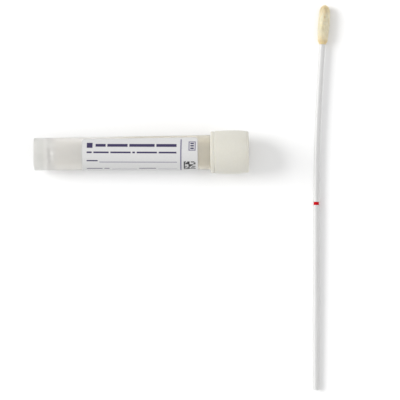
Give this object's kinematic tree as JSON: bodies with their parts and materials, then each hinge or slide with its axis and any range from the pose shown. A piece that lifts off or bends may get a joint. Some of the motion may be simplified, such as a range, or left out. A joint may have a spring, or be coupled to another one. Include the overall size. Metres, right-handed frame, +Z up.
{
  "type": "specimen swab tube",
  "caption": "Screw-cap transport tube with a skirted conical base, a capture funnel in its cap and liquid medium, lying beside its flocked swab.",
  "frame": {"origin": "middle of the set's footprint, on the table", "axes": "+Z up from the table; the tube lies along +X with its cap at the +X end, its axis raised by the tilt at which it rests; the swab lies along +Y with its flocked tip at the +Y end"},
  "size_m": [0.1195, 0.1548, 0.0175],
  "materials": {
    "tube_plastic": "satin",
    "cap_plastic": "satin",
    "seal_rubber": "matte",
    "label_paper": "satin",
    "medium": "gloss",
    "shaft_plastic": "satin",
    "tip_flock": "matte"
  },
  "bodies": {
    "tube": {"tube_body": "tube_plastic", "label": "label_paper", "transport_medium": "medium", "swab_shaft": "shaft_plastic", "swab_tip": "tip_flock"},
    "seal": {"cap_seal": "seal_rubber"},
    "cap": {"screw_cap": "cap_plastic"}
  },
  "joints": [
    {"name": "cap_turn", "type": "hinge", "parent": "seal", "child": "cap", "pos_m": [0.0111, 0.0185, 0.00849], "axis": [0.9996, 0, 0.0283], "range_deg": [0, 1170]},
    {"name": "cap_rise", "type": "slide", "parent": "tube", "child": "seal", "axis": [0.9996, 0, 0.0283], "range_m": [0, 0.0163]}
  ],
  "couplings": [
    {"joint": "cap_rise", "follows": "cap_turn", "m_per_rad": 0.00079577}
  ]
}
